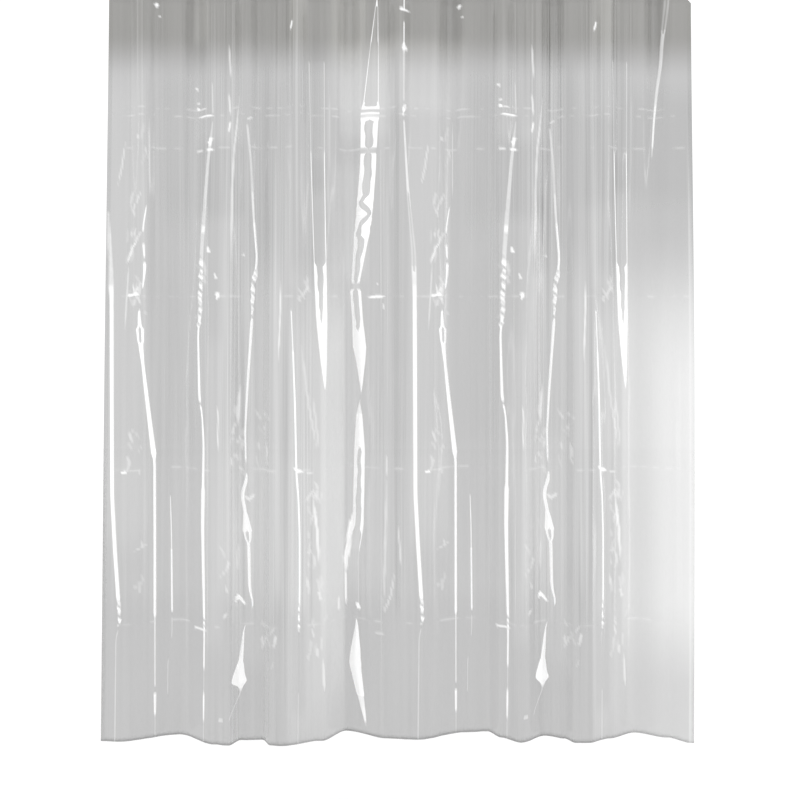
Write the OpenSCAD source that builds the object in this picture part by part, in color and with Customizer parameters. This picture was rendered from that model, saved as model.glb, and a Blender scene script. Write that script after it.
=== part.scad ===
// A clear vinyl shower curtain, hung and drawn nearly full width.
// Millimetres. +X runs along the rod, the front faces -Y and +Z is up.
// The origin is on the rod's axis, half way between the two end rings.

/* [Film] */
// Hung width along the top edge
hung_w = 1550; // [1520:10:1640]
// Height of the film from its top edge to its bottom edge
film_h = 2000; // [1700:10:2300]
// Thickness of the film
film_t = 0.2; // [0.15:0.05:0.4]
// How much wider the film hangs at its bottom edge, on each side
flare = 11; // [0:1:30]

/* [Header and hems] */
// Height of the welded band along the top edge
header_h = 38; // [30:1:60]
// Width of the welded hem down each side
side_hem_w = 11; // [8:1:14]
// Height of the welded hem along the bottom edge
bottom_hem_h = 10; // [6:1:20]

/* [Folds] */
// Depth of the bulge between two eyelets at the top edge
bulge_depth = 30; // [15:1:36]
// Half width of the flat place round each eyelet
flat_half_w = 14; // [12:1:18]
// Share of the height over which the top bulges turn into the lower folds
turn_share = 0.55; // [0.3:0.05:0.9]

/* [Eyelets] */
// Bore of each eyelet
eyelet_bore_d = 10; // [9:0.5:12]
// Outside diameter of the front flange
eyelet_flange_d = 17; // [15:0.5:20]
// Distance of the eyelets' centres below the top edge
eyelet_drop = 18; // [15:1:22]
// Distance of the end eyelets' centres from the side edges
eyelet_edge = 25; // [22:1:30]

/* [Rings] */
// Diameter of the rod that the rings run on
rod_d = 25; // [22:1:28]
// Gap all round between the rod and the rings
rod_gap = 0.2; // [0.1:0.05:0.4]
// Thickness of the ring's wire
wire_d = 3.6; // [3:0.1:4]
// Length of the ring's two straight legs
leg_h = 26; // [22:1:34]

/* [Hidden] */
EYELETS = 12;
$fn = 48;

// The lower folds: [x, y] of each turn of the bottom edge, front negative,
// with a smooth step between neighbours.
bottom_turns = [
  [-790, -12], [-747, -16], [-592, 30], [-488, -34], [-450, -40], [-424, -6],
  [-365, -4], [-341, -40], [-312, -43], [-207, -10], [-146, 54], [-30, 4],
  [44, -4], [176, 44], [237, 50], [271, 10], [319, -22], [391, 22],
  [439, 4], [464, -24], [498, -24], [557, 4], [632, 42], [715, 10],
  [769, -24], [790, -26]
];
// Which way each bulge between two eyelets goes: -1 is to the front
bulge_side = [-1, 1, -1, -1, 1, -1, 1, -1, 1, -1, 1];
// Flat pieces in one bulge, and bands of the film below the header
bulge_steps = 6;
film_bands = 5;

half_w = hung_w / 2;
pitch = (hung_w - 2 * eyelet_edge) / (EYELETS - 1);
bulge_w = pitch - 2 * flat_half_w;

seat_r = rod_d / 2 + rod_gap;
wire_r = wire_d / 2;
ring_r = seat_r + wire_r;
pivot_z = -leg_h - ring_r;
// Room for the eyelet to tilt on the wire, above the wire's middle
tilt_room = wire_r + 0.55;
eyelet_z = pivot_z + tilt_room - eyelet_bore_d / 2;
top_z = eyelet_z + eyelet_drop;
header_z = top_z - header_h;
bottom_z = top_z - film_h;
hem_z = bottom_z + bottom_hem_h;

// The film's front face lies one thickness in front of y = 0 at an eyelet,
// and the header is one more thickness on its back.
film_front = -film_t;
weld_back = film_t;

barrel_wall = 0.8;
barrel_r = eyelet_bore_d / 2 + barrel_wall;
flange_t = 1;
washer_t = 1;
washer_r = eyelet_flange_d / 2 - 0.5;
hole_gap = 0.1;
edge_round = 0.4;

snap_sleeve_h = 11;
snap_sleeve_r = wire_r + 0.8;
snap_sleeve_drop = 8;

clear = [0.86, 0.88, 0.88, 0.55];
clear_weld = [0.7, 0.72, 0.72, 0.7];
clear_plastic = [0.9, 0.92, 0.93, 0.8];

function eyelet_x(i) = -half_w + eyelet_edge + i * pitch;
function smooth(t) = t <= 0 ? 0 : t >= 1 ? 1 : t * t * (3 - 2 * t);

// Depth of the bulges at the top edge
function top_depth(x) =
  let (span = floor((x - eyelet_x(0)) / pitch))
  let (along = (x - eyelet_x(span) - flat_half_w) / bulge_w)
  span < 0 || span > EYELETS - 2 || along <= 0 || along >= 1 ? 0
  : bulge_side[span] * bulge_depth * (1 - cos(360 * along)) / 2;

// Depth of the folds at the bottom edge
function bottom_depth(x) =
  let (k = [for (i = [0 : len(bottom_turns) - 2]) if (x >= bottom_turns[i][0]) i])
  let (a = bottom_turns[k[len(k) - 1]], b = bottom_turns[k[len(k) - 1] + 1])
  a[1] + (b[1] - a[1]) * smooth((x - a[0]) / (b[0] - a[0]));

// How far down the film a height is: 0 at the header and 1 at the bottom edge
function down(z) = max(0, (header_z - z) / (header_z - bottom_z));
function turned(z) = smooth(down(z) / turn_share);
function spread(x, z) = x * (1 + flare / half_w * down(z));
function depth(x, z) =
  top_depth(x) * (1 - turned(z)) + bottom_depth(x * (1 + flare / half_w)) * turned(z);

// Columns and rows of the film, with a column on each side of every flat place
columns = concat(
  [-half_w],
  [for (i = [0 : EYELETS - 1]) each concat(
    [eyelet_x(i) - flat_half_w, eyelet_x(i) + flat_half_w],
    i == EYELETS - 1 ? []
    : [for (k = [1 : bulge_steps - 1]) eyelet_x(i) + flat_half_w + bulge_w * k / bulge_steps]
  )],
  [half_w]
);
left_columns = [-half_w, side_hem_w - half_w];
right_columns = [half_w - side_hem_w, half_w];
film_rows = [for (k = [0 : film_bands]) header_z + (hem_z - header_z) * k / film_bands];

// A welded sheet over a grid of columns and rows, from depth front to depth back
// behind the folds' own surface
module sheet(columns, rows, front, back) {
  wide = len(columns);
  high = len(rows);
  layer = wide * high;
  function at(r, c, side) = side * layer + r * wide + c;
  points = [
    for (side = [front, back]) for (z = rows) for (x = columns)
      [spread(x, z), depth(x, z) + side, z]
  ];
  faces = concat(
    [for (r = [0 : high - 2]) for (c = [0 : wide - 2]) each [
      [at(r, c, 0), at(r, c + 1, 0), at(r + 1, c + 1, 0)],
      [at(r, c, 0), at(r + 1, c + 1, 0), at(r + 1, c, 0)],
      [at(r, c, 1), at(r + 1, c + 1, 1), at(r, c + 1, 1)],
      [at(r, c, 1), at(r + 1, c, 1), at(r + 1, c + 1, 1)]
    ]],
    [for (c = [0 : wide - 2]) each [
      [at(0, c, 1), at(0, c + 1, 1), at(0, c + 1, 0), at(0, c, 0)],
      [at(high - 1, c, 0), at(high - 1, c + 1, 0), at(high - 1, c + 1, 1), at(high - 1, c, 1)]
    ]],
    [for (r = [0 : high - 2]) each [
      [at(r, 0, 0), at(r + 1, 0, 0), at(r + 1, 0, 1), at(r, 0, 1)],
      [at(r, wide - 1, 0), at(r, wide - 1, 1), at(r + 1, wide - 1, 1), at(r + 1, wide - 1, 0)]
    ]]
  );
  polyhedron(points, faces);
}

module eyelet_holes() {
  for (i = [0 : EYELETS - 1])
    translate([eyelet_x(i), 0, eyelet_z])
      rotate([90, 0, 0])
        cylinder(r = barrel_r + hole_gap, h = 20, center = true);
}

module film_panel() {
  color(clear)
    difference() {
      sheet(columns, concat([top_z], film_rows, [bottom_z]), film_front, 0);
      eyelet_holes();
    }
}

module header_band() {
  color(clear_weld)
    difference() {
      sheet(columns, [top_z, header_z], 0, weld_back);
      eyelet_holes();
    }
}

module left_hem() {
  color(clear_weld) sheet(left_columns, film_rows, 0, weld_back);
}

module right_hem() {
  color(clear_weld) sheet(right_columns, film_rows, 0, weld_back);
}

module bottom_hem() {
  color(clear_weld) sheet(columns, [hem_z, bottom_z], 0, weld_back);
}

// Front half of an eyelet: a flange with a barrel that goes through both layers
module eyelet_front(i) {
  length = film_t + weld_back + washer_t;
  color(clear_plastic)
    translate([eyelet_x(i), film_front, eyelet_z])
      rotate([90, 0, 0])
        difference() {
          union() {
            rotate_extrude()
              difference() {
                square([eyelet_flange_d / 2, flange_t]);
                translate([eyelet_flange_d / 2 - edge_round, flange_t - edge_round])
                  difference() {
                    square(2 * edge_round);
                    circle(edge_round);
                  }
              }
            translate([0, 0, -length])
              cylinder(r = barrel_r, h = length);
          }
          translate([0, 0, -length - 1])
            cylinder(d = eyelet_bore_d, h = length + flange_t + 2);
        }
}

// Back half of an eyelet: a ring that snaps over the end of the barrel
module eyelet_back(i) {
  color(clear_plastic)
    translate([eyelet_x(i), weld_back, eyelet_z])
      rotate([-90, 0, 0])
        rotate_extrude()
          difference() {
            translate([barrel_r, 0])
              square([washer_r - barrel_r, washer_t]);
            translate([washer_r - edge_round, washer_t - edge_round])
              difference() {
                square(2 * edge_round);
                circle(edge_round);
              }
          }
}

// A long ring: a half turn over the rod, two straight legs and a half turn through
// the eyelet. A sleeve on its back leg holds the snap that opens it.
module ring(i) {
  color(clear_plastic)
    translate([eyelet_x(i), 0, 0]) {
      rotate([90, 0, 90])
        rotate_extrude(angle = 180) {
          translate([seat_r, -wire_r])
            square([wire_r, wire_d]);
          translate([ring_r, 0])
            circle(wire_r);
        }
      translate([0, 0, -leg_h])
        rotate([90, 0, 90])
          rotate([0, 0, 180])
            rotate_extrude(angle = 180)
              translate([ring_r, 0])
                circle(wire_r);
      for (side = [-1, 1])
        translate([0, side * ring_r, -leg_h])
          cylinder(r = wire_r, h = leg_h);
      translate([0, ring_r, -snap_sleeve_drop - snap_sleeve_h])
        cylinder(r = snap_sleeve_r, h = snap_sleeve_h);
    }
}

film_panel();
header_band();
left_hem();
right_hem();
bottom_hem();
for (i = [0 : EYELETS - 1]) {
  number = str(i < 9 ? "0" : "", i + 1);
  eyelet_front(i);
  eyelet_back(i);
  ring(i);
}
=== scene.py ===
import math

import bpy
import numpy as np
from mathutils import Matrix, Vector


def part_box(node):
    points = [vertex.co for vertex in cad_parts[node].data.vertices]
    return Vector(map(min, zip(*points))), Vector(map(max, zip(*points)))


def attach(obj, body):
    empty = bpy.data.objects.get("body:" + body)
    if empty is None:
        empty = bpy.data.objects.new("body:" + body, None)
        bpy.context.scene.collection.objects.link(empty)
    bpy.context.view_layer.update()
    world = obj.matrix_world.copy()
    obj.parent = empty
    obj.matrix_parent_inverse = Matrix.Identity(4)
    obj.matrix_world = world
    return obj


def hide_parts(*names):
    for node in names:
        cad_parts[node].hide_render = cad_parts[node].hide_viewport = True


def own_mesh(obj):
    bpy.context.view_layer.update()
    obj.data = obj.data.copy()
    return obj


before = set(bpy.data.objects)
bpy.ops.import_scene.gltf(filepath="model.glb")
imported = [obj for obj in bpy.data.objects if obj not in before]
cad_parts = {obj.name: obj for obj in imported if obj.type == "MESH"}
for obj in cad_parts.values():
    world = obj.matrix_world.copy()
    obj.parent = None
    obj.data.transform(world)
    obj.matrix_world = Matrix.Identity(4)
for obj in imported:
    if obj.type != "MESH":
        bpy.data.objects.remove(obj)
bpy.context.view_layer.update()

MM = 0.001

# ---------------------------------------------------------------- sizes from the frame
film_low, film_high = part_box("film_panel")
header_low, header_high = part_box("header_band")
hem_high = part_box("bottom_hem")[1]
TOP = film_high.z
HEIGHT = film_high.z - film_low.z
HEADER_DROP = TOP - header_low.z
HEM_DROP = TOP - hem_high.z
HALF_W = header_high.x
# The side hems' width, which is the one in part.scad
SIDE_HEM_W = 11 * MM
EYELETS = sum(name.startswith("eyelet_front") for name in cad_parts)


def middle_of(node):
    """The middle of a CAD node's box."""
    low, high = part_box(node)
    return (low + high) / 2


FIRST_EYELET = middle_of("eyelet_front_01").x
LAST_EYELET = middle_of(f"eyelet_front_{EYELETS}").x
EYELET_Z = middle_of("eyelet_front_01").z
PITCH = (LAST_EYELET - FIRST_EYELET) / (EYELETS - 1)
# Faces of the film whose middle is this near an eyelet's middle are left out
HOLE_R = 6.6 * MM

# The flat cut sheet before it is hung
FLAT_W, FLAT_H = 1.80, 2.00

# ---------------------------------------------------------------- the film's wide folds
# Half width of the flat place round each eyelet. It is wider than the CAD film's, so that
# the film is still flat under the flanges when the curtain is drawn.
FLAT_HALF_W = 28 * MM
# Depth of the bulge between two eyelets, and which way each goes: -1 is to the front
BULGE_DEPTH = 30 * MM
BULGE_SIDE = [-1, 1, -1, -1, 1, -1, 1, -1, 1, -1, 1]
# Share of the height over which the bulges turn into the lower folds
TURN_SHARE = 0.55
# How far the left edge leans out, and how far the right edge bellies out, as a wave that
# has turned this many radians at the bottom edge
FLARE = 19 * MM
BELLY = 4 * MM
BELLY_TURN = 2.55
# How far the corner past the last eyelet hangs down, and the height that this pulls on
CORNER_DROOP = 40 * MM
CORNER_H = 150 * MM

# The bottom edge's turns, (x, y) in millimetres with the front negative
BOTTOM_TURNS = [
    (-790, -12), (-747, -16), (-592, 30), (-488, -34), (-450, -40), (-424, -6),
    (-365, -4), (-341, -40), (-312, -43), (-207, -10), (-146, 54), (-30, 4),
    (44, -4), (176, 44), (237, 50), (271, 10), (319, -22), (391, 22),
    (439, 4), (464, -24), (498, -24), (557, 4), (632, 42), (715, 10),
    (769, -24), (790, -26),
]
# The front folds hang lower and the back ones higher, by this share of their depth, from
# this share of the height down
BOTTOM_RISE = 0.14
RISE_SHARE = 0.9

# ---------------------------------------------------------------- the film's sharp folds
# The folds and wrinkles of the left half come again this far to the right, because the
# film was folded in half in its packet. Lengths from here on are in millimetres.
REPEAT = 806

# A look is how much light is painted on a fold as highlight, the share of its width that
# stays dark between its two lit rims, how broken up it is and how much its dark middle wanders.
SHADE = (0.12, 0, 0, 0)
TRACE = (0.3, 0, 0, 0)
SHEEN = (0.38, 0, 0.1, 0)
DULL = (0.55, 0, 0, 0)
LIT = (0.8, 0, 0, 0)
BRIGHT = (1, 0, 0, 0)
BROKEN = (1, 0, 0.8, 0)
FAINT_RIMS = (0.35, 0.86, 0, 0)
THIN_RIMS = (0.9, 0.86, 0, 0)
SPREAD_RIMS = (0.9, 0.72, 0, 0)
RIMS = (1, 0.48, 0, 0.12)
THICK_RIMS = (1, 0.34, 0, 0.12)
WAVY_RIMS = (1, 0.32, 0.1, 0.8)
NOTCHED = (1, 0.18, 0, 0.1)
SOFT_BAND = (0.5, 0, 0, 0)
SOFT_RIMS = (0.45, 0.5, 0, 0)

# A fold is a path of (drop, x) points, with the drop taken from the film's top edge, and
# its lit stretches: from drop, to drop, width there, width at its end, look.
EDGE_STRETCHES = [
    (800, 850, 14, 13, LIT), (865, 1620, 13, 12, BRIGHT), (1632, 1690, 11, 10, BROKEN),
    (1710, 2000, 5, 5, TRACE),
]
EDGE_FOLD = (
    [(550, -778), (800, -765), (1350, -763), (1500, -755), (1690, -742), (1720, -753), (2000, -756)],
    [(600, 786, 10, 17, SHEEN)] + EDGE_STRETCHES,
)
EDGE_FOLD_AGAIN = (
    [(31, 11), (350, 10), (540, 21), (700, 36), (800, 39), (1350, 41), (1500, 49), (1690, 61),
     (1720, 51), (2000, 48)],
    [(35, 60, 4, 4, LIT), (100, 150, 4, 4, LIT), (156, 168, 9, 9, BRIGHT), (176, 300, 8, 7, TRACE),
     (318, 340, 9, 7, BROKEN), (360, 540, 6, 9, SOFT_BAND), (550, 690, 10, 15, SOFT_RIMS),
     (700, 740, 16, 17, SOFT_RIMS), (756, 786, 16, 15, DULL)] + EDGE_STRETCHES,
)
LOOP_FOLD = (
    [(560, -670), (645, -683), (745, -678), (800, -684), (860, -694), (960, -689), (1075, -677),
     (1200, -663), (1260, -656), (2000, -655)],
    [(585, 645, 4, 6, LIT), (685, 715, 8, 5, LIT), (735, 795, 8, 4, BRIGHT),
     (862, 900, 6, 11, BRIGHT), (908, 940, 21, 17, THICK_RIMS), (948, 1000, 13, 8, BRIGHT),
     (1000, 1240, 8, 14, BRIGHT), (1256, 1670, 7, 7, BRIGHT), (1682, 1860, 5, 5, DULL),
     (1885, 1935, 8, 6, LIT), (1945, 2000, 4, 4, TRACE)],
)
THREAD_FOLD = (
    [(1310, -618), (1450, -614), (1680, -612), (1740, -613), (1800, -623), (1900, -624)],
    [(1360, 1500, 3, 4, LIT), (1500, 1665, 5, 5, BRIGHT), (1688, 1735, 5, 4, TRACE),
     (1800, 1885, 4, 4, TRACE)],
)
LADDER_FOLD = (
    [(240, -500), (350, -497), (460, -510), (610, -522), (700, -528), (880, -533), (915, -538),
     (1095, -533), (1130, -525), (1210, -520), (1430, -523), (1700, -518), (2000, -521)],
    [(258, 330, 5, 6, TRACE), (360, 398, 5, 9, TRACE), (400, 415, 11, 11, LIT),
     (425, 630, 10, 15, SHEEN), (636, 648, 14, 14, LIT), (655, 712, 15, 14, SHEEN),
     (725, 825, 14, 15, BROKEN), (838, 895, 15, 13, BROKEN), (905, 1095, 6, 9, BRIGHT),
     (1112, 1150, 6, 5, BRIGHT), (1160, 1320, 6, 9, BRIGHT), (1335, 1590, 13, 9, BRIGHT),
     (1600, 1668, 8, 7, BRIGHT), (1680, 1702, 7, 7, BROKEN), (1712, 1800, 6, 5, LIT),
     (1812, 1860, 4, 4, TRACE), (1875, 1938, 6, 5, LIT), (1950, 2000, 4, 4, TRACE)],
)
TWISTED_FOLD = (
    [(355, -405), (460, -395), (600, -389), (725, -380), (800, -391), (890, -394), (1050, -405),
     (1180, -412), (1265, -410), (1305, -406), (1345, -421), (1395, -411), (1480, -402),
     (1600, -400), (1645, -388), (1695, -414), (1790, -423), (1840, -429), (1860, -418),
     (1935, -452)],
    [(372, 540, 8, 9, TRACE), (550, 620, 8, 7, DULL), (632, 745, 6, 6, BRIGHT),
     (758, 842, 12, 10, BROKEN), (855, 882, 6, 6, BROKEN),
     (892, 1255, 8, 5, BRIGHT), (1295, 1310, 5, 9, BRIGHT), (1312, 1395, 10, 10, BRIGHT),
     (1400, 1442, 13, 26, BRIGHT), (1448, 1466, 23, 18, THICK_RIMS), (1476, 1600, 9, 8, BRIGHT),
     (1600, 1643, 8, 4, BRIGHT), (1698, 1790, 3, 13, BRIGHT), (1795, 1840, 17, 38, BRIGHT),
     (1846, 1856, 30, 14, BRIGHT), (1870, 1932, 5, 4, TRACE)],
)
STRAIGHT_FOLD = (
    [(830, -288), (960, -282), (1100, -277), (1290, -273), (1350, -268), (1450, -265),
     (1600, -265), (1690, -267), (2000, -269)],
    [(862, 960, 4, 4, LIT), (970, 1330, 5, 6, BRIGHT), (1335, 1620, 5, 5, BRIGHT),
     (1635, 1698, 5, 6, BROKEN), (1870, 2000, 4, 4, TRACE)],
)
SPEAR_FOLD = (
    [(190, -222), (450, -219), (670, -214), (850, -209), (950, -205), (1060, -199)],
    [(200, 430, 44, 40, FAINT_RIMS), (445, 730, 39, 34, THIN_RIMS), (742, 800, 34, 33, RIMS),
     (812, 850, 32, 31, THICK_RIMS), (866, 880, 31, 30, NOTCHED), (896, 1000, 29, 17, BRIGHT),
     (1004, 1060, 16, 5, BRIGHT)],
)
FOLDS = [LOOP_FOLD, THREAD_FOLD, LADDER_FOLD, TWISTED_FOLD, STRAIGHT_FOLD, SPEAR_FOLD]

# The two folds that come only once
MIDDLE_FOLD = (
    [(31, -61), (300, -77), (345, -81), (480, -86), (610, -97), (700, -109), (790, -121),
     (830, -118), (930, -111), (990, -106), (1080, -104), (1108, -110), (1240, -109),
     (1440, -113), (1520, -129), (1660, -127), (1695, -116), (1815, -122), (1900, -106),
     (1970, -92)],
    [(31, 45, 4, 6, LIT), (50, 140, 8, 22, SPREAD_RIMS), (150, 300, 23, 42, THIN_RIMS),
     (305, 313, 44, 48, SPREAD_RIMS), (316, 321, 50, 50, LIT), (323, 328, 50, 50, SHADE),
     (330, 334, 52, 52, LIT), (336, 342, 52, 52, SHEEN), (344, 350, 52, 50, LIT),
     (354, 420, 48, 45, RIMS), (426, 436, 44, 42, SHADE), (442, 545, 44, 45, RIMS),
     (560, 660, 46, 43, WAVY_RIMS), (668, 780, 40, 24, RIMS), (785, 798, 23, 23, SHADE),
     (804, 880, 31, 30, RIMS), (890, 904, 31, 32, THICK_RIMS), (914, 960, 34, 37, BRIGHT),
     (960, 1076, 36, 3, BRIGHT), (1106, 1135, 4, 16, DULL), (1145, 1225, 18, 29, BRIGHT),
     (1235, 1335, 30, 31, THICK_RIMS), (1345, 1410, 31, 30, RIMS),
     (1420, 1450, 31, 32, RIMS), (1465, 1500, 33, 35, THIN_RIMS), (1512, 1650, 36, 34, FAINT_RIMS),
     (1698, 1765, 4, 24, BRIGHT), (1770, 1815, 26, 34, BRIGHT), (1822, 1895, 32, 22, BRIGHT),
     (1902, 1966, 18, 7, LIT)],
)
RIGHT_FOLD = (
    [(31, 712), (140, 701), (200, 698), (270, 689), (350, 682), (450, 676)],
    [(31, 105, 16, 13, SOFT_RIMS), (120, 300, 10, 8, SOFT_BAND), (312, 415, 7, 6, LIT),
     (424, 444, 5, 3, DULL)],
)

# ---------------------------------------------------------------- the film's small wrinkles
# A wrinkle is its width, how much painted highlight it gets and its (x, drop) points.
# Those of the left half come again on the right.
WRINKLES = [
    (10, 0.9, (-650, 40), (-645, 50)),
    (5, 0.7, (-640, 70), (-640, 80)),
    (5, 0.9, (-285, 90), (-290, 115)),
    (6, 0.7, (-550, 260), (-540, 265)),
    (6, 0.6, (-540, 300), (-540, 305)),
    (8, 0.9, (-545, 315), (-535, 320)),
    (5, 0.5, (-535, 320), (-515, 320)),
    (7, 0.8, (-540, 340), (-495, 340)),
    (5, 0.7, (-515, 415), (-505, 410), (-495, 400)),
    (6, 0.9, (-515, 430), (-495, 430)),
    (6, 0.5, (-545, 430), (-525, 430)),
    (6, 0.4, (-455, 150), (-450, 240)),
    (6, 0.45, (-455, 280), (-450, 340)),
    (6, 0.7, (-450, 355), (-455, 385)),
    (6, 0.35, (-405, 355), (-390, 345)),
    (6, 0.4, (-425, 290), (-440, 430), (-445, 540), (-445, 730)),
    (5, 0.35, (-730, 410), (-740, 480), (-750, 525)),
    (4, 0.3, (-665, 350), (-665, 560)),
    (5, 0.6, (-725, 735), (-710, 690), (-695, 670)),
    (5, 0.3, (-720, 730), (-725, 820), (-730, 910)),
    (8, 0.9, (-725, 820), (-705, 815), (-690, 815)),
    (5, 0.5, (-710, 785), (-705, 815), (-695, 790)),
    (6, 0.5, (-675, 860), (-675, 870)),
    (7, 0.9, (-510, 690), (-505, 705)),
    (6, 0.7, (-490, 760), (-485, 775)),
    (8, 0.9, (-490, 815), (-480, 815), (-485, 830)),
    (6, 0.6, (-420, 710), (-410, 710)),
    (6, 0.6, (-555, 1165), (-545, 1165)),
    (8, 0.9, (-740, 1290), (-725, 1285)),
    (5, 0.35, (-725, 1285), (-685, 1285)),
    (4, 0.5, (-480, 1100), (-480, 1230)),
    (8, 0.45, (-425, 1060), (-430, 1160)),
    (5, 0.5, (-315, 780), (-315, 850), (-320, 990)),
    (9, 0.8, (-280, 1270), (-270, 1280), (-255, 1285)),
    (6, 0.35, (-250, 1285), (-230, 1290)),
    (6, 0.7, (-555, 1705), (-510, 1700)),
    (8, 1, (-435, 1630), (-430, 1615), (-410, 1640)),
    (4, 0.4, (-430, 1475), (-430, 1550)),
    (8, 0.45, (-415, 1350), (-400, 1360), (-385, 1345)),
    (8, 0.55, (-230, 1360), (-220, 1440), (-215, 1530)),
    (9, 0.4, (-215, 1600), (-210, 1630)),
    (6, 0.25, (-260, 950), (-250, 1050), (-240, 1120), (-220, 1230)),
    (6, 0.25, (-230, 1090), (-215, 1230)),
    (8, 0.3, (-480, 1935), (-465, 1935)),
    (7, 0.35, (-205, 1780), (-200, 1870)),
    (6, 0.22, (-190, 240), (-190, 620)),
]
WRINKLES_ONCE = [
    (4, 0.9, (10, 55), (0, 65), (25, 65)),
    (7, 0.9, (5, 165), (20, 165)),
    (5, 0.6, (5, 325), (15, 315), (15, 330)),
    (6, 1, (-90, 825), (-65, 820), (-40, 820)),
    (5, 0.5, (-60, 785), (-60, 790)),
    (4, 0.6, (-45, 840), (-45, 855)),
    (5, 0.35, (-35, 1245), (-35, 1300)),
    (7, 0.25, (-35, 1310), (-40, 1500), (-45, 1660)),
    (5, 0.35, (-5, 1430), (0, 1500), (5, 1550)),
    (6, 0.3, (-15, 1560), (-25, 1620), (-45, 1670)),
    (13, 1, (-126, 1405), (-136, 1470), (-146, 1530), (-147, 1570)),
    (5, 0.9, (-147, 1555), (-146, 1660)),
    (10, 1, (-116, 1650), (-110, 1666)),
    (6, 0.5, (-165, 1630), (-165, 1670)),
    (6, 0.3, (-70, 1720), (-40, 1720)),
]
# Places where the film is crushed into small faint wrinkles, as left, right, from drop,
# to drop and how many. They come again on the right.
CRUSHED = [
    (-700, -665, 270, 480, 5), (-725, -690, 560, 720, 14), (-725, -690, 770, 840, 10),
    (-725, -690, 1180, 1300, 8), (-445, -415, 1110, 1300, 12), (-380, -350, 1130, 1260, 8),
    (-275, -240, 780, 830, 5), (-240, -205, 1300, 1420, 14), (-245, -205, 1420, 1660, 12),
    (-700, -685, 1470, 1620, 5), (-365, -325, 1660, 1800, 7), (-245, -195, 1660, 1800, 8),
    (-545, -515, 720, 890, 5), (-470, -455, 1480, 1660, 5),
]

# Drops of the creases that the sheet keeps from being folded flat in its packet
PACKET_CREASES = [320, 340, 425, 820, 1280, 1690]

# Painted light and shade: upright bands of the film painted lighter where they lean to the
# light and darker where they lean away from it, as left, right, soft width, from drop, to drop,
# soft height and how much lighter. They come again on the right.
PAINTED_LEAN_BANDS = [
    (-790, -665, 15, 170, 1550, 150, 0.045), (-640, -545, 20, 150, 700, 150, -0.03),
    (-485, -437, 8, 250, 1650, 150, 0.04), (-475, -290, 25, 620, 1700, 250, 0.045),
    (-400, -300, 20, 120, 850, 200, -0.03), (-365, -343, 4, 150, 1650, 100, -0.03),
    (-335, -313, 4, 150, 1650, 100, 0.03), (-300, -190, 20, 100, 850, 150, -0.045),
    (-300, -145, 12, 690, 2150, 300, 0.085), (-215, -145, 10, 600, 1900, 300, 0.075),
    (-560, -400, 20, 380, 640, 60, -0.045), (-240, -190, 10, 430, 570, 50, -0.05),
    (-300, -240, 12, -99, 830, 60, 0.045), (-295, -240, 15, 1620, 1960, 80, -0.045),
    (-515, -460, 10, 900, 1780, 80, 0.03), (-455, -345, 20, 1150, 1850, 100, 0.03),
]
PAINTED_LEAN_BANDS_ONCE = [
    (-165, -98, 8, 120, 420, 60, 0.06), (-98, -20, 12, 120, 420, 60, 0.045),
    (-155, -20, 12, 200, 1650, 150, 0.025), (-150, -100, 12, 560, 1700, 250, 0.04),
    (-16, 0, 3, 150, 1700, 100, -0.045), (590, 830, 60, 640, 2300, 250, 0.06),
    (-190, -80, 15, 440, 800, 60, 0.045), (345, 400, 12, 520, 780, 60, -0.05),
    (-190, -85, 12, -99, 360, 60, 0.05), (-80, 190, 30, 110, 360, 60, 0.045),
    (-560, -505, 15, -99, 170, 60, 0.05),
    (-800, 430, 40, 1180, 1680, 100, 0.03), (450, 600, 50, 300, 620, 80, -0.035),
]
# Bands where the film's fine upright lines are strong, as above, which come again
LINED = [
    (-800, -665, 20, -99, 2200, 20, 0.2), (-520, -365, 12, -99, 2200, 20, 0.65),
    (-337, -225, 6, -99, 2200, 20, 0.65), (-60, 15, 8, -99, 2200, 20, 0.45),
]


def smooth(t):
    """A soft step from 0 to 1 as t goes from 0 to 1."""
    t = np.clip(t, 0, 1)
    return t * t * (3 - 2 * t)


def top_depth(x):
    """Depth of the bulges between eyelets at the top edge, in metres."""
    span = np.floor((x - FIRST_EYELET) / PITCH)
    inside = (span >= 0) & (span < EYELETS - 1)
    start = FIRST_EYELET + span * PITCH + FLAT_HALF_W
    along = np.clip((x - start) / (PITCH - 2 * FLAT_HALF_W), 0, 1)
    side = np.array(BULGE_SIDE)[np.clip(span, 0, EYELETS - 2).astype(int)]
    return np.where(inside, side * BULGE_DEPTH * (1 - np.cos(2 * np.pi * along)) / 2, 0)


def stepped(x, knots):
    """A value between (x, value) knots, with a smooth step from each to the next."""
    xs = np.array([knot[0] for knot in knots]) * MM
    ys = np.array([knot[1] for knot in knots]) * MM
    k = np.clip(np.searchsorted(xs, x) - 1, 0, len(xs) - 2)
    return ys[k] + (ys[k + 1] - ys[k]) * smooth((x - xs[k]) / (xs[k + 1] - xs[k]))


def share_down(drop):
    """0 on the header and 1 at the bottom edge."""
    return np.clip((drop - HEADER_DROP) / (HEIGHT - HEADER_DROP), 0, 1)


def base_depth(x, drop):
    """Depth of the wide folds at each point, in metres."""
    turned = smooth(share_down(drop) / TURN_SHARE)
    return top_depth(x) * (1 - turned) + stepped(x, BOTTOM_TURNS) * turned


def waves(t, seed, longest, shortest, count=7):
    """A smooth wandering value from about -1 to 1 along t, the same each run."""
    draw = np.random.default_rng(seed)
    total = np.zeros_like(t)
    for k in range(count):
        length = longest * (shortest / longest) ** (k / (count - 1))
        wave = np.sin(2 * np.pi * (t / length + draw.random()))
        total += wave * (0.6 + 0.4 * draw.random())
    return total / (0.7 * count ** 0.5) / 1.6


def patch(x, drop, left, right, soft_x, top, bottom, soft_drop):
    """1 inside an upright patch and 0 outside it, with soft edges, in millimetres."""
    soft_x, soft_drop = soft_x * MM, soft_drop * MM
    sides = smooth((x - left * MM) / soft_x) * smooth((right * MM - x) / soft_x)
    ends = smooth((drop - top * MM) / soft_drop) * smooth((bottom * MM - drop) / soft_drop)
    return sides * ends


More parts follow.
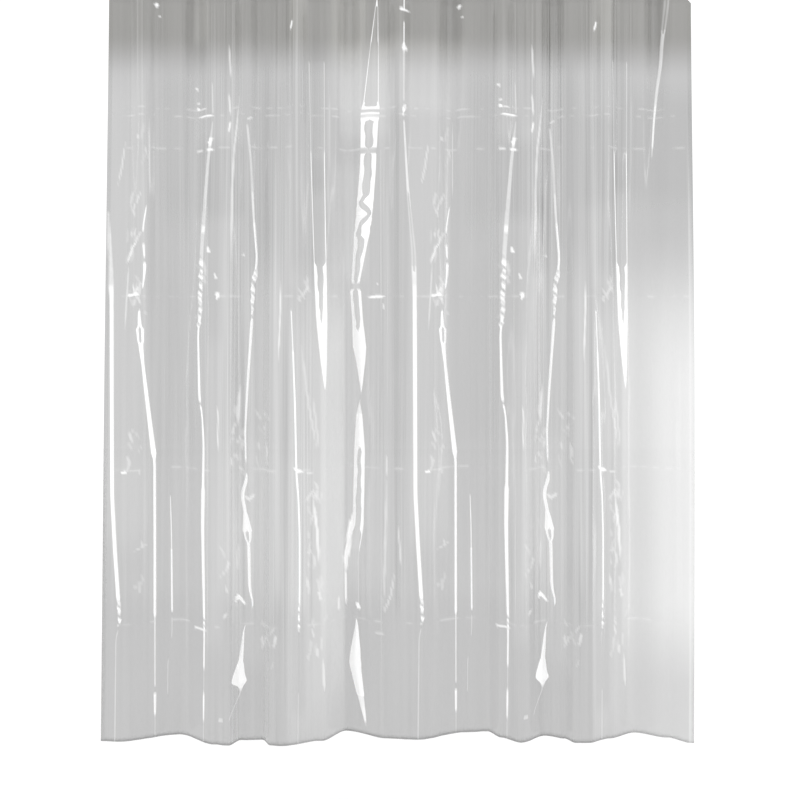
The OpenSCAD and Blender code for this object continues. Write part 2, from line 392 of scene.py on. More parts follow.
def bands(x, drop, table, shifts=(0, REPEAT)):
    """The sum of a table's bands at each point."""
    total = np.zeros_like(x)
    for shift in shifts:
        for *place, value in table:
            total += value * patch(x - shift * MM, drop, *place)
    return total


# ---------------------------------------------------------------- the film's grid
# Parts of the height whose wrinkles are small, (from drop, to drop), which have closer
# rows, and the part where the middle fold is barred, which has the closest
WRINKLED = [(30, 130), (250, 440), (560, 960), (1260, 1500), (1600, 1960)]
BARRED = (300, 356)
# Gaps between rows: over the header, in the barred part, in a wrinkled part and elsewhere
HEADER_GAP = 3
BARRED_GAP = 2.5
WRINKLED_GAP = 5
PLAIN_GAP = 9
# The drop where the header's rows end, and the room above the bottom edge's own row
HEADER_ROWS_END = 30
LAST_ROOM = 4
# A row this near to a crease or an edge gives way to it
ROW_ROOM = 1.2 * MM
# Usual and least distance between columns
COLUMN_GAP = 3.2 * MM
LEAST_GAP = 0.25 * MM


def row_gap(drop):
    """How far below a row the next one lies, in millimetres."""
    if BARRED[0] * MM <= drop < BARRED[1] * MM:
        return BARRED_GAP
    wrinkled = any(start * MM <= drop < end * MM for start, end in WRINKLED)
    return WRINKLED_GAP if wrinkled else PLAIN_GAP


def film_rows():
    """The drop of each row of the grid, with a row on each crease and edge."""
    drops = list(np.arange(0, HEADER_ROWS_END, HEADER_GAP) * MM)
    drop = HEADER_ROWS_END * MM
    while drop < HEIGHT - LAST_ROOM * MM:
        drops.append(drop)
        drop += row_gap(drop) * MM
    for edge in [crease * MM for crease in PACKET_CREASES] + [HEADER_DROP, HEM_DROP, HEIGHT]:
        drops = [other for other in drops if abs(other - edge) > ROW_ROOM] + [edge]
    return np.array(sorted(drops))


ROWS = film_rows()
DOWN = share_down(ROWS)
LEFT_EDGE = -HALF_W - FLARE * DOWN
RIGHT_EDGE = HALF_W + BELLY * np.sin(BELLY_TURN * DOWN)


class Fold:
    """A sharp fold that runs down the film, with its own columns of the grid."""

    # A lit stretch fades over this length at its ends, unless the next one is this near
    FADE = 7
    JOIN = 16
    # How steeply the dark bars across a broken fold slope
    RUNG_SLANT = 0.8
    # The least width, and the width from which a fold has extra columns inside it
    LEAST_W = 2.5
    WIDE = 20
    # The path is the mean of itself at these distances, which rounds its corners
    ROUNDING = (-18, -9, 0, 9, 18)
    # Columns of the grid on each side of a fold, this far from its edge, and in a wide
    # fold the columns' distance from its two edges and from the edges of its dark middle
    BESIDE = (12, 6, 2.5)
    RIM_GAP = 1.5 * MM
    SLIT_GAP = 0.7 * MM
    # The crest's height is this share of the width, and no more than this
    CREST_SHARE = 0.2
    CREST_MOST = 5 * MM
    # How much of its light the dark middle of a fold loses, and the most of the width that
    # the dark middle takes
    DARK_SHARE = 0.93
    MOST_DARK = 0.95
    # What a fully broken fold's middle strays by, in millimetres, what share its width
    # changes by, and how deep and strong the dark bars across it are
    STRAY = 1.6
    PINCH = 0.35
    BAR_DEPTH = 0.5
    BAR_CHANGE = 1.2
    # The light's soft edge on the brightest folds, what is added to it on the faintest and
    # how far the light goes past the fold's edge
    SHARP_EDGE = 1.3 * MM
    FAINT_EDGE = 2.5 * MM
    SPILL = 0.2 * MM
    # The dark middle's soft edge and least half width
    SLIT_EDGE = 1.2 * MM
    LEAST_SLIT = 0.5 * MM
    # How unevenly a fold is lit along its length
    UNEVEN = 0.1
    # How far a fully wandering dark middle goes to the sides, and how its width changes
    LEAN = 1.3
    SWELL = 0.6
    # Longest and shortest waves of those changes, in metres
    STRAY_WAVES = (0.09, 0.02)
    PINCH_WAVES = (0.05, 0.014)
    BAR_WAVES = (0.03, 0.015)
    UNEVEN_WAVES = (0.3, 0.05)
    SWELL_WAVES = (0.08, 0.03)
    LEAN_WAVES = (0.09, 0.05)

    def __init__(self, fold, shift, seed):
        path, stretches = fold
        width, light, hollow, crumple, wander = self.along(stretches)
        stray = self.STRAY * crumple * waves(ROWS, seed, *self.STRAY_WAVES)
        self.middle = (self.rounded(path) + shift + stray) * MM
        pinch = 1 + self.PINCH * crumple * waves(ROWS, seed + 1, *self.PINCH_WAVES)
        self.width = np.maximum(width * pinch, self.LEAST_W) * MM
        bars = self.BAR_CHANGE * waves(ROWS, seed + 2, *self.BAR_WAVES, 3) - self.BAR_DEPTH
        self.rungs = np.clip(1 + crumple * bars, 0, 1)
        uneven = 1 + self.UNEVEN * waves(ROWS, seed + 3, *self.UNEVEN_WAVES)
        self.light = np.clip(light * uneven, 0, 1)
        swell = np.maximum(crumple, self.SWELL * wander)
        swell = 1 + swell * waves(ROWS, seed + 4, *self.SWELL_WAVES, 4)
        self.slit = self.width / 2 * np.clip(hollow * swell, 0, self.MOST_DARK)
        lean = self.LEAN * wander * waves(ROWS, seed + 5, *self.LEAN_WAVES, 3)
        lean = np.clip(lean, -1, 1)
        self.slit_middle = lean * (self.width / 2 - self.slit)
        self.wide = max(stretch[2] for stretch in stretches) > self.WIDE

    def rounded(self, path):
        """The path's x at each row, with its corners rounded."""
        drops, places = zip(*path)
        shifted = [np.interp(ROWS / MM + away, drops, places) for away in self.ROUNDING]
        return np.mean(shifted, axis=0)

    def along(self, stretches):
        """Width and the four values of the look at each row."""
        knots = []
        for k, (start, end, width, end_width, look) in enumerate(stretches):
            light, *shape = look
            if k == 0 or start - stretches[k - 1][1] > self.JOIN:
                knots.append((start - self.FADE, width, 0, *shape))
            knots.append((start, width, light, *shape))
            knots.append((end, end_width, light, *shape))
            if k == len(stretches) - 1 or stretches[k + 1][0] - end > self.JOIN:
                knots.append((end + self.FADE, end_width, 0, *shape))
        table = np.array(knots, float)
        return [np.interp(ROWS / MM, table[:, 0], table[:, k]) for k in range(1, 6)]

    def stations(self):
        """The x of each of the fold's columns at each row, from left to right."""
        half = self.width / 2
        if self.wide:
            edge = np.minimum(self.RIM_GAP, half * 0.2)
            slit = np.maximum(self.slit, half * 0.2)
            reach = [slit * part for part in (0, 0.35, 0.7)]
            reach += [slit - self.SLIT_GAP, slit + self.SLIT_GAP]
            inner = [self.slit_middle - off for off in reach[:0:-1]]
            inner += [self.slit_middle + off for off in reach]
            inner = [np.clip(off, edge - half, half - edge) for off in inner]
            inner = [-half, edge - half, *inner, half - edge, half]
        else:
            inner = [-half, -half * 0.5, 0 * half, half * 0.5, half]
        outer = [gap * MM for gap in self.BESIDE]
        left = [self.middle - half - gap for gap in outer]
        right = [self.middle + half + gap for gap in outer[::-1]]
        return left + [self.middle + off for off in inner] + right

    def bump(self, x):
        """Height of the fold's crest at each point, forwards."""
        t = (x - self.middle[:, None]) / (self.width[:, None] / 2)
        crest = (1 - np.clip(t, -1, 1) ** 2) ** 1.5
        height = np.minimum(self.CREST_SHARE * self.width, self.CREST_MOST)
        height = height * (0.25 + 0.75 * self.light)
        return crest * height[:, None]

    def glare(self, x, drop):
        """Painted highlight: how much light is painted on the fold at each point, from 0 to 1."""
        off = x - self.middle[:, None]
        soft = self.SHARP_EDGE + self.FAINT_EDGE * (1 - self.light[:, None])
        lit = smooth((self.width[:, None] / 2 + self.SPILL - np.abs(off)) / soft)
        slit = self.slit[:, None]
        slit_off = np.abs(off - self.slit_middle[:, None])
        dark = smooth((slit - slit_off) / self.SLIT_EDGE + 0.5) * (slit > self.LEAST_SLIT)
        rungs = np.interp(drop - self.RUNG_SLANT * off, ROWS, self.rungs)
        return lit * rungs * self.light[:, None] * (1 - self.DARK_SHARE * dark)


def all_folds():
    """Every sharp fold, from left to right, those of the left half twice."""
    made = [Fold(EDGE_FOLD, 0, 10), Fold(EDGE_FOLD_AGAIN, 0, 10)]
    for shift in (0, REPEAT):
        made += [Fold(fold, shift, 20 + 10 * k) for k, fold in enumerate(FOLDS)]
    made += [Fold(MIDDLE_FOLD, 0, 100), Fold(RIGHT_FOLD, 0, 110)]
    return sorted(made, key=lambda fold: fold.middle[len(ROWS) // 2])


SHARP = all_folds()


def film_columns():
    """The x of each of the grid's columns at each row. They follow the sharp folds."""
    columns = [LEFT_EDGE, LEFT_EDGE + SIDE_HEM_W / 2, LEFT_EDGE + SIDE_HEM_W]
    groups = [fold.stations() for fold in SHARP] + [[RIGHT_EDGE - SIDE_HEM_W, RIGHT_EDGE]]
    for group in groups:
        gap = np.mean(group[0] - columns[-1])
        steps = max(1, int(round(gap / COLUMN_GAP)))
        last = columns[-1]
        columns += [last + (group[0] - last) * k / steps for k in range(1, steps)]
        columns += group
    grid = np.array(columns).T
    for c in range(2, grid.shape[1]):
        grid[:, c] = np.maximum(grid[:, c], grid[:, c - 1] + LEAST_GAP)
    grid[:, -1] = RIGHT_EDGE
    grid[:, -2] = RIGHT_EDGE - SIDE_HEM_W
    for c in range(grid.shape[1] - 3, 1, -1):
        grid[:, c] = np.minimum(grid[:, c], grid[:, c + 1] - LEAST_GAP)
    return grid


# Ranges of a crushed wrinkle's length, width and painted highlight, how far its direction
# spreads about upright, in radians, and how far its middle bends to the side
CRUSHED_LENGTH = (14, 44)
CRUSHED_W = (5, 8)
CRUSHED_LIGHT = (0.08, 0.34)
CRUSHED_TURN = 0.4
CRUSHED_BEND = 4


def crushed_wrinkles():
    """Small wrinkles drawn at random inside the crushed places, the same each run."""
    draw = np.random.default_rng(7)
    made = []
    for left, right, top, bottom, count in CRUSHED:
        for _ in range(count):
            x, drop = draw.uniform(left, right), draw.uniform(top, bottom)
            length, turn = draw.uniform(*CRUSHED_LENGTH), draw.normal(0, CRUSHED_TURN)
            across = math.sin(turn) * length * 0.5
            down = math.cos(turn) * length * 0.5
            bend = draw.uniform(-CRUSHED_BEND, CRUSHED_BEND)
            points = [(x - across, drop - down), (x + bend, drop), (x + across, drop + down)]
            made.append((draw.uniform(*CRUSHED_W), draw.uniform(*CRUSHED_LIGHT), *points))
    return made


# A wrinkle narrows and dims to this share at its ends, over a part of its length that is
# set by the slope, and its painted highlight has this soft edge, which begins outside its own edge
END_SHARE = 0.4
END_SLOPE = 3
WRINKLE_SOFT = 2.4 * MM
WRINKLE_SPILL = 0.7 * MM


def draw_wrinkle(total, x, drop, wrinkle, shift):
    """Adds a wrinkle's painted highlight to total, keeping the greater; its ends fade."""
    width, light, *places = wrinkle
    points = (np.array(places, float) + [shift, 0]) * MM
    half = width / 2 * MM
    low, high = points.min(axis=0) - 2 * half, points.max(axis=0) + 2 * half
    near = (x > low[0]) & (x < high[0]) & (drop > low[1]) & (drop < high[1])
    px, pd = x[near], drop[near]
    best = np.zeros_like(px)
    lengths = np.hypot(*np.diff(points, axis=0).T)
    done = np.concatenate([[0], np.cumsum(lengths)]) / lengths.sum()
    for k, (a, b) in enumerate(zip(points[:-1], points[1:])):
        along = b - a
        s = np.clip(((px - a[0]) * along[0] + (pd - a[1]) * along[1]) / (along @ along), 0, 1)
        off = np.hypot(px - a[0] - s * along[0], pd - a[1] - s * along[1])
        t = done[k] + s * (done[k + 1] - done[k])
        taper = np.clip(END_SHARE + END_SLOPE * np.minimum(t, 1 - t), 0, 1)
        edge = smooth((half * taper + WRINKLE_SPILL - off) / WRINKLE_SOFT)
        best = np.maximum(best, light * taper * edge)
    total[near] = np.maximum(total[near], best)


def wrinkle_glare(x, drop):
    """Painted highlight: how much light is painted on the small wrinkles at each point, from 0 to 1.
    """
    repeated = WRINKLES + crushed_wrinkles()
    total = np.zeros_like(x)
    for shift in (0, REPEAT):
        for wrinkle in repeated:
            draw_wrinkle(total, x, drop, wrinkle, shift)
    for wrinkle in WRINKLES_ONCE:
        draw_wrinkle(total, x, drop, wrinkle, 0)
    return total


# How soon the folds and ripples reach their full depth below the header and past a hem
BELOW_HEADER = 90 * MM
PAST_HEM = 6 * MM


def free_share(x, drop):
    """1 over the film and 0 on the header and at the side hems."""
    below = smooth((drop - HEADER_DROP) / BELOW_HEADER)
    left = smooth((x - LEFT_EDGE[:, None] - SIDE_HEM_W) / PAST_HEM)
    right = smooth((RIGHT_EDGE[:, None] - SIDE_HEM_W - x) / PAST_HEM)
    return below * left * right


# Depth and half width of a packet crease, and the most painted highlight on it
CREASE_DEPTH = 0.9 * MM
CREASE_HALF_W = 3.2 * MM
CREASE_LIGHT = 0.16
CREASE_LIT_HALF_W = 2.6 * MM


def packet_depth(x, drop):
    """Depth of the packet creases: a shallow groove whose depth wanders along it."""
    total = np.zeros_like(x)
    for n, crease in enumerate(PACKET_CREASES):
        along = 0.6 + 0.4 * waves(x, 200 + n, 0.4, 0.03)
        total += np.exp(-(((drop - crease * MM) / CREASE_HALF_W) ** 2)) * along
    return CREASE_DEPTH * total


def crease_glare(x, drop):
    """Faint painted highlight on the packet creases, here and there along them."""
    total = np.zeros_like(x)
    for n, crease in enumerate(PACKET_CREASES):
        along = np.clip(1.6 * waves(x, 300 + n, 0.25, 0.03), 0, 1)
        line = np.exp(-(((drop - crease * MM) / CREASE_LIT_HALF_W) ** 2))
        total = np.maximum(total, CREASE_LIGHT * along * line)
    return total


# Depth of the small upright ripples, how far they drift sideways on their way down and how
# much of their depth they lose at the film's smooth right end
RIPPLE_DEPTH = 1.3 * MM
RIPPLE_DRIFT = 20 * MM
RIPPLE_LOSS = 0.8
# Height of a wrinkle that throws back all its light
WRINKLE_HEIGHT = 1.2 * MM
# Half width and light of the painted highlight along the right hem's inner edge
SEAM_HALF_W = 1.2 * MM
SEAM_LIGHT = 0.26


# Where the smooth right end begins, and over what width
SMOOTH_FROM = 590 * MM
SMOOTH_OVER = 60 * MM


def ripple_depth(x, drop):
    """Depth of the small upright ripples."""
    drift = RIPPLE_DRIFT * waves(drop, 5, 1.6, 0.5)
    across = RIPPLE_DEPTH * waves(x + drift, 3, 0.09, 0.028, 5)
    down = 0.5 + 0.5 * waves(drop, 4, 1.1, 0.3)
    return across * down * (1 - RIPPLE_LOSS * smooth((x - 600 * MM) / SMOOTH_OVER))


def seam_glare(x, drop):
    """Painted highlight on the right hem's inner edge, which grows from the top creases down."""
    seam = np.exp(-(((x - RIGHT_EDGE[:, None] + SIDE_HEM_W) / SEAM_HALF_W) ** 2))
    return SEAM_LIGHT * seam * smooth((drop - 300 * MM) / (400 * MM))


def corner_share(x, drop):
    """1 at the top corner past the last eyelet and 0 over the rest of the film."""
    past = smooth((x - LAST_EYELET - 9 * MM) / (8 * MM))
    return past * (1 - smooth(drop / CORNER_H))


def film_surface(x, drop):
    """y, z and glare over the grid."""
    free = free_share(x, drop)
    y = base_depth(x, drop)
    y = y + free * (ripple_depth(x, drop) + packet_depth(x, drop))
    # glare is painted highlight, which the film's material paints white and solid
    glare = np.maximum(wrinkle_glare(x, drop), free * crease_glare(x, drop))
    y = y - free * WRINKLE_HEIGHT * glare
    glare = np.maximum(glare, seam_glare(x, drop))
    for fold in SHARP:
        y = y - free * fold.bump(x)
        glare = np.maximum(glare, fold.glare(x, drop))
    lift = BOTTOM_RISE * stepped(x, BOTTOM_TURNS) * smooth(share_down(drop) / RISE_SHARE)
    return y, TOP - drop + lift - CORNER_DROOP * corner_share(x, drop), glare


def folded_share(x):
    """1 where the film is folded and 0 over its smooth right end."""
    return 1 - smooth((x - SMOOTH_FROM) / SMOOTH_OVER)


# How light the painted sheen, a soft painted reflection, over the smooth right end is, how much
# of it goes towards the bottom, and how much darker the film is painted above it
RIGHT_SHEEN = 0.25
RIGHT_SHEEN_LOSS = 0.72
ABOVE_RIGHT_SHEEN = 0.04


def right_painted_sheen(x, drop):
    """Painted sheen, a soft painted reflection, over the smooth right end, which fades towards the
    bottom, with a patch painted darker above it.
    """
    grown = smooth((drop - 600 * MM) / (480 * MM))
    left = 1 - RIGHT_SHEEN_LOSS * smooth((drop - 1600 * MM) / (280 * MM))
    painted_sheen = RIGHT_SHEEN * grown * left * smooth((x - 560 * MM) / (200 * MM)) ** 0.75
    return painted_sheen - ABOVE_RIGHT_SHEEN * patch(x, drop, 560, 860, 60, 230, 620, 100)


# How much lighter the film is near the bottom
LOW_TONE = 0.01


def film_painted_light_and_shade(x, drop):
    """How much lighter than its usual grey the film is painted: bands of painted light and shade,
    painted sheen at the right, and a little lighter near the bottom.
    """
    low = LOW_TONE * smooth((drop - 1560 * MM) / (150 * MM))
    once = bands(x, drop, PAINTED_LEAN_BANDS_ONCE, (0,))
    return bands(x, drop, PAINTED_LEAN_BANDS) * folded_share(x) + once + right_painted_sheen(x, drop) + low


# How strong the upright lines are over the smooth right end, what the folded film adds,
# how much of them is lost lower down, and their least strength near the top
LEAST_LINES = 0.12
FOLDED_LINES = 0.23
LOW_LOSS = 0.5
TOP_LINES = 0.5


def film_lines(x, drop):
    """How strong the film's fine upright lines are."""
    lines = LEAST_LINES + folded_share(x) * (FOLDED_LINES + bands(x, drop, LINED))
    lines = lines * (1 - LOW_LOSS * smooth((drop - 1600 * MM) / (150 * MM)))
    return np.maximum(lines, TOP_LINES * (1 - smooth((drop - 100 * MM) / (100 * MM))))


GRID_X = film_columns()
GRID_DROP = np.repeat(ROWS[:, None], GRID_X.shape[1], axis=1)
GRID_Y, GRID_Z, GRID_GLARE = film_surface(GRID_X, GRID_DROP)
# What the film's material reads at each point: painted highlight, painted light and shade with the
# painted sheen, and the fine upright lines
GRID_LOOKS = {
    "glare": GRID_GLARE,
    "painted_light_and_shade": film_painted_light_and_shade(GRID_X, GRID_DROP),
    "lines": film_lines(GRID_X, GRID_DROP),
}


def round_eyelets(points):
    """True at each point that falls in an eyelet's hole."""
    inside = np.zeros(len(points), bool)
    for k in range(EYELETS):
        inside |= np.hypot(points[:, 0] - FIRST_EYELET - k * PITCH, points[:, 2] - EYELET_Z) < HOLE_R
    return inside


def sheet_mesh(name, rows, columns, behind=0.0):
    """A sheet over part of the grid, this far behind the film's own surface."""
    x, y, z = (grid[rows, columns] for grid in (GRID_X, GRID_Y + behind, GRID_Z))
    high, wide = x.shape
    points = np.stack([x, y, z], axis=-1).reshape(-1, 3)
    index = np.arange(high * wide).reshape(high, wide)
    quads = np.stack([index[:-1, :-1], index[1:, :-1], index[1:, 1:], index[:-1, 1:]], axis=-1)
    quads = quads.reshape(-1, 4)
    quads = quads[~round_eyelets(points[quads].mean(axis=1))]
    used, quads = np.unique(quads, return_inverse=True)
    mesh = bpy.data.meshes.new(name)
    mesh.from_pydata(points[used].tolist(), [], quads.reshape(-1, 4).tolist())
    corner = np.zeros(len(mesh.loops), np.int32)
    mesh.loops.foreach_get("vertex_index", corner)
    upright = np.stack([x.ravel(), np.repeat(ROWS[rows], wide)], axis=-1)[used]
    uv = mesh.uv_layers.new(name="upright")
    uv.data.foreach_set("uv", upright[corner].astype(np.float32).ravel())
    for label, grid in GRID_LOOKS.items():
        attribute = mesh.attributes.new(label, "FLOAT", "POINT")
        attribute.data.foreach_set("value", grid[rows, columns].ravel()[used].astype(np.float32))
    mesh.polygons.foreach_set("use_smooth", np.ones(len(mesh.polygons), bool))
    obj = bpy.data.objects.new(name, mesh)
    bpy.context.collection.objects.link(obj)
    return obj


# ---------------------------------------------------------------- materials
class Nodes:
    """A material's node tree, with short ways to add to it."""

    def __init__(self, name):
        self.material = bpy.data.materials.new(name)
        self.material.use_nodes = True
        self.tree = self.material.node_tree
        self.tree.nodes.clear()
        self.out = self.add("ShaderNodeOutputMaterial")

    def add(self, kind, **settings):
        node = self.tree.nodes.new(kind)
        for key, value in settings.items():
            setattr(node, key, value)
        return node

    def link(self, source, target):
        self.tree.links.new(source, target)

    def put(self, value, target):
        """Sets an input to a plain value, or links another node's output to it."""
        if isinstance(value, (int, float, tuple)):
            target.default_value = value
        else:
            self.link(value, target)

    def maths(self, operation, a, b=0.0, clamp=False):
        node = self.add("ShaderNodeMath", operation=operation, use_clamp=clamp)
        self.put(a, node.inputs[0])
        self.put(b, node.inputs[1])
        return node.outputs[0]

    def total(self, first, *others):
        for other in others:
            first = self.maths("ADD", first, other)
        return first

    def centred(self, value, by):
        """The value with its middle moved from a half to nought, times a factor."""
        return self.maths("MULTIPLY", self.maths("SUBTRACT", value, 0.5), by)

    def ramp(self, value, low, high, out_low=0.0, out_high=1.0, kind="SMOOTHSTEP"):
        node = self.add("ShaderNodeMapRange", interpolation_type=kind)
        self.put(value, node.inputs["Value"])
        node.inputs["From Min"].default_value = low
        node.inputs["From Max"].default_value = high
        node.inputs["To Min"].default_value = out_low
        node.inputs["To Max"].default_value = out_high
        return node.outputs["Result"]

    def mix(self, share, a, b):
        node = self.add("ShaderNodeMix", data_type="RGBA")
        self.put(share, node.inputs["Factor"])
        self.put(a, node.inputs["A"])
        self.put(b, node.inputs["B"])
        return node.outputs["Result"]

    def noise(self, vector, scale, detail=2.0, roughness=0.5):
        node = self.add("ShaderNodeTexNoise")
        self.link(vector, node.inputs["Vector"])
        node.inputs["Scale"].default_value = scale
        node.inputs["Detail"].default_value = detail
        node.inputs["Roughness"].default_value = roughness
        return node.outputs["Fac"]

    def scaled(self, vector, by):
        node = self.add("ShaderNodeVectorMath", operation="MULTIPLY")
        self.link(vector, node.inputs[0])
        self.put(by, node.inputs[1])
        return node.outputs[0]

    def upright(self):
        """The place on the film: x, and drop below the top edge, in metres."""
        return self.add("ShaderNodeUVMap", uv_map="upright").outputs[0]

    def down(self):
        """Drop below the top edge, in metres."""
        split = self.add("ShaderNodeSeparateXYZ")
        self.link(self.upright(), split.inputs[0])
        return split.outputs[1]

    def read(self, name):
        """One of the looks that the mesh carries at each point."""
        return self.add("ShaderNodeAttribute", attribute_name=name).outputs["Fac"]

    def bump(self, height, strength, distance):
        node = self.add("ShaderNodeBump")
        node.inputs["Strength"].default_value = strength
        node.inputs["Distance"].default_value = distance
        self.link(height, node.inputs["Height"])
        return node.outputs[0]

    def plastic(self, colour, alpha, roughness, ior, normal=None):
        shader = self.add("ShaderNodeBsdfPrincipled")
        self.link(colour, shader.inputs["Base Color"])
        self.link(alpha, shader.inputs["Alpha"])
        shader.inputs["Roughness"].default_value = roughness
        shader.inputs["IOR"].default_value = ior
        if normal is not None:
            self.link(normal, shader.inputs["Normal"])
        self.link(shader.outputs[0], self.out.inputs["Surface"])
        return self.material


WHITE = (1.0, 1.0, 1.0, 1.0)

# The film's noises, as waves per metre across and down: fine and middling upright lines,
# groups of them, and a slow cloudiness
FINE_LINES = (230.0, 1.1, 1.0)
MIDDLING_LINES = (80.0, 0.8, 1.0)
LINE_GROUPS = (14.0, 0.5, 1.0)
CLOUDS = (7.0, 4.0, 1.0)
# How solid the film is, what the painted shade across the top of the film adds and where that
# painted shade fades out
FILM_ALPHA = 0.65
TOP_SHADE_ALPHA = 0.245
TOP_SHADE_FADE = (0.12, 0.245)
# The painted shade's slight warm tint
TOP_SHADE_TINT = (1.0, 0.985, 0.93, 1.0)
# How solid the film is in full glare, and the glare from which it is painted pure white; glare is
# painted highlight
GLARE_ALPHA = 0.98
WHITE_GLARE = 0.85
# The film's own grey, and how much of the painted light and shade is added to it
FILM_GREY = 0.23
LIGHT_AND_SHADE_SHARE = 1.5
VINYL_IOR = 1.54
PLASTIC_IOR = 1.5
GLOSS = 0.12


def film_material():
    """Clear vinyl: see-through, grey where it turns the light, and painted white and solid as
    highlight where the glare is.
    """
    n = Nodes("clear_vinyl")
    place = n.upright()
    glare = n.read("glare")
    fine = n.noise(n.scaled(place, FINE_LINES), 1.0, 2.0, 0.6)
    middling = n.noise(n.scaled(place, MIDDLING_LINES), 1.0, 2.0)
    cloud = n.noise(n.scaled(place, CLOUDS), 1.0, 3.0)
    group = n.ramp(n.noise(n.scaled(place, LINE_GROUPS), 1.0, 1.0), 0.35, 0.65, 0.35, 1.3)
    streaks = n.total(n.centred(fine, 0.42), n.centred(middling, 0.26))
    lines = n.maths("MULTIPLY", n.maths("MULTIPLY", streaks, n.read("lines")), group)
    # Painted shade across the top of the film: more solid and a little warmer there, fading out
    # lower down
    header = n.ramp(n.down(), *TOP_SHADE_FADE, 1.0, 0.0)
    band = n.maths("MULTIPLY", header, TOP_SHADE_ALPHA)
    solid = n.total(FILM_ALPHA, lines, n.centred(cloud, 0.04), band)
    alpha = n.maths("MAXIMUM", solid, n.maths("MULTIPLY", glare, GLARE_ALPHA), clamp=True)
    # The film's grey with the painted light and shade added
    grey_and_painted_light = n.total(n.maths("MULTIPLY", n.read("painted_light_and_shade"), LIGHT_AND_SHADE_SHARE), FILM_GREY)
    tint = n.mix(header, WHITE, TOP_SHADE_TINT)
    # Painted highlight: the glare paints the colour white
    painted_highlight = n.ramp(glare, 0.0, WHITE_GLARE, kind="LINEAR")
    colour = n.mix(painted_highlight, n.scaled(tint, grey_and_painted_light), WHITE)
    normal = n.bump(n.total(fine, middling), 0.25, 0.6 * MM)
    return n.plastic(colour, alpha, GLOSS, VINYL_IOR, normal)


# A weld's two noises, as waves per metre across and down, how solid it is at least, and
# the darker line along the bottom edge: the drops that it grows between and its strength
WELD_FINE = (300.0, 3.0, 1.0)
WELD_GRAIN = (40.0, 900.0, 1.0)
WELD_ALPHA = 0.1
EDGE_LINE = (FLAT_H - 6.5 * MM, FLAT_H - 4.5 * MM)
EDGE_ALPHA = 0.4


def weld_material():
    """The second layer of a hem or header, which shows as a faint grey and a darker edge."""
    n = Nodes("welded_vinyl")
    place = n.upright()
    fine = n.noise(n.scaled(place, WELD_FINE), 1.0, 2.0)
    grain = n.noise(n.scaled(place, WELD_GRAIN), 1.0, 2.0)
    edge = n.ramp(n.down(), *EDGE_LINE, 0.0, EDGE_ALPHA)
    grain = n.total(n.maths("MULTIPLY", fine, 0.06), n.maths("MULTIPLY", grain, 0.04))
    alpha = n.total(WELD_ALPHA, grain, edge)
    colour = n.mix(fine, (0.16, 0.16, 0.16, 1.0), (0.24, 0.24, 0.24, 1.0))
    return n.plastic(colour, alpha, 0.2, VINYL_IOR)


def clear_plastic(name, tint):
    """Clear moulded plastic, a little frosted by its mould and faintly scuffed."""
    n = Nodes(name)
    place = n.add("ShaderNodeTexCoord").outputs["Object"]
    scuffs = n.noise(place, 120.0, 2.0)
    normal = n.bump(n.noise(place, 900.0, 3.0), 0.15, 0.3 * MM)
    dim = tuple(0.88 * part for part in tint)
    colour = n.mix(scuffs, (*dim, 1.0), (*tint, 1.0))
    return n.plastic(colour, n.ramp(scuffs, 0.3, 0.7, 0.55, 0.7), GLOSS, PLASTIC_IOR, normal)


def floor_material():
    """A plain pale floor with a very faint cloudiness."""
    n = Nodes("pale_floor")
    shade = n.noise(n.add("ShaderNodeTexCoord").outputs["Object"], 3.0, 3.0)
    diffuse = n.add("ShaderNodeBsdfDiffuse")
    colour = n.mix(shade, (0.955, 0.955, 0.955, 1.0), (0.975, 0.975, 0.975, 1.0))
    n.link(colour, diffuse.inputs["Color"])
    n.link(diffuse.outputs[0], n.out.inputs["Surface"])
    return n.material


# ---------------------------------------------------------------- the pieces
# How far behind the film's surface a welded strip lies
BEHIND = 0.4 * MM
EVERY = slice(None)
HEADER_ROW = int(np.argmin(np.abs(ROWS - HEADER_DROP)))
HEM_ROW = int(np.argmin(np.abs(ROWS - HEM_DROP)))


def hang(piece, node, material):
    """Gives a soft piece its material and lets it move as its CAD node does."""
    piece.data.materials.append(material)
    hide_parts(node)
    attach(piece, "curtain")
    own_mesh(piece)


def curtain():
    """The film and the four welded strips on its back, which stand for the CAD's."""
    film = sheet_mesh("film", EVERY, EVERY)
    header = sheet_mesh("header_weld", slice(0, HEADER_ROW + 1), EVERY, BEHIND)
    left = sheet_mesh("left_hem_weld", slice(HEADER_ROW, HEM_ROW + 1), slice(0, 3), BEHIND)
    right = sheet_mesh("right_hem_weld", slice(HEADER_ROW, HEM_ROW + 1), slice(-2, None), BEHIND)
    bottom = sheet_mesh("bottom_hem_weld", slice(HEM_ROW, None), EVERY, BEHIND)
    weld = weld_material()
    hang(film, "film_panel", film_material())
    hang(header, "header_band", weld)
    hang(left, "left_hem", weld)
    hang(right, "right_hem", weld)
    hang(bottom, "bottom_hem", weld)


def hard_parts():
    """The CAD's own eyelets and rings get their materials."""
    eyelet_plastic = clear_plastic("eyelet_plastic", (0.60, 0.62, 0.62))
    ring_plastic = clear_plastic("ring_plastic", (0.50, 0.53, 0.54))
    for name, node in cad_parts.items():
        if not name.startswith(("eyelet", "ring")):
            continue
        node.data.materials.clear()
        node.data.materials.append(ring_plastic if name.startswith("ring") else eyelet_plastic)
        node.data.polygons.foreach_set("use_smooth", np.ones(len(node.data.polygons), bool))


# ---------------------------------------------------------------- stage, light, camera
FLOOR_Z = film_low.z - 450 * MM
FLOOR_REACH = 30.0
MIDDLE_Z = TOP - HEIGHT / 2
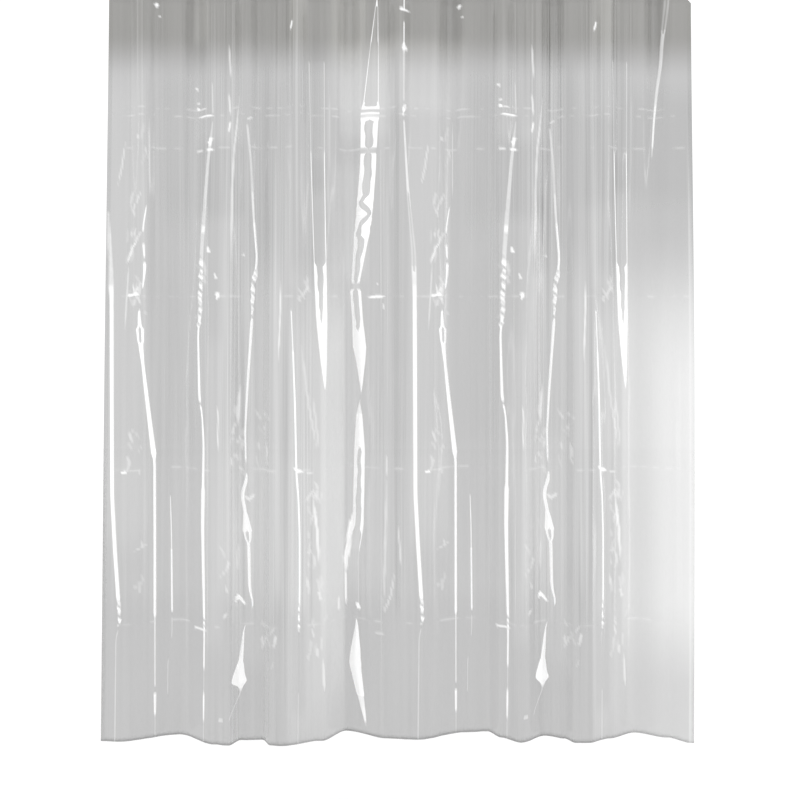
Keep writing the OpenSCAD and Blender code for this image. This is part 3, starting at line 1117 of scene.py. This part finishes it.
# Height of the picture at the curtain, and how much of the curtain is above it
FRAME_H = 2.131
CROPPED = 31 * MM
CAMERA_BACK = 3.2
SENSOR_W = 36
# Width and height of the two strip lights, and the strength of the light from all sides
STRIP_W, STRIP_H = 0.25, 2.6
SKY_STRENGTH = 1.1


def stage():
    """The plain floor under the curtain."""
    mesh = bpy.data.meshes.new("floor")
    corners = [(-1, -1), (1, -1), (1, 1), (-1, 1)]
    points = [(x * FLOOR_REACH, y * FLOOR_REACH, FLOOR_Z) for x, y in corners]
    mesh.from_pydata(points, [], [(0, 1, 2, 3)])
    floor = bpy.data.objects.new("floor", mesh)
    bpy.context.collection.objects.link(floor)
    floor.data.materials.append(floor_material())


def strip_light(name, place, power):
    """A tall soft light that faces the curtain's middle."""
    light = bpy.data.lights.new(name, "AREA")
    light.shape = "RECTANGLE"
    light.size, light.size_y = STRIP_W, STRIP_H
    light.energy = power
    obj = bpy.data.objects.new(name, light)
    bpy.context.collection.objects.link(obj)
    obj.location = (*place, MIDDLE_Z)
    obj.rotation_euler = Vector((-place[0], -place[1], 0)).to_track_quat("-Z", "Y").to_euler()


def sky():
    """Soft white light from all sides."""
    world = bpy.data.worlds.new("studio")
    bpy.context.scene.world = world
    world.use_nodes = True
    background = world.node_tree.nodes["Background"]
    background.inputs["Color"].default_value = WHITE
    background.inputs["Strength"].default_value = SKY_STRENGTH


def camera():
    """Level with the picture's middle, straight in front of the curtain."""
    lens = bpy.data.cameras.new("camera")
    lens.sensor_width = SENSOR_W
    lens.lens = SENSOR_W * CAMERA_BACK / FRAME_H
    obj = bpy.data.objects.new("camera", lens)
    bpy.context.collection.objects.link(obj)
    obj.location = (0, -CAMERA_BACK, TOP - CROPPED - FRAME_H / 2)
    obj.rotation_euler = (math.radians(90), 0, 0)
    bpy.context.scene.camera = obj


curtain()
hard_parts()
stage()
sky()
strip_light("strip_right", (3.0, -1.2), 8)
strip_light("strip_left", (-3.0, -1.0), 5)
camera()
bpy.context.scene.view_settings.view_transform = "Standard"
# Seen from the side, many layers of film lie one behind the other
bpy.context.scene.cycles.transparent_max_bounces = 48
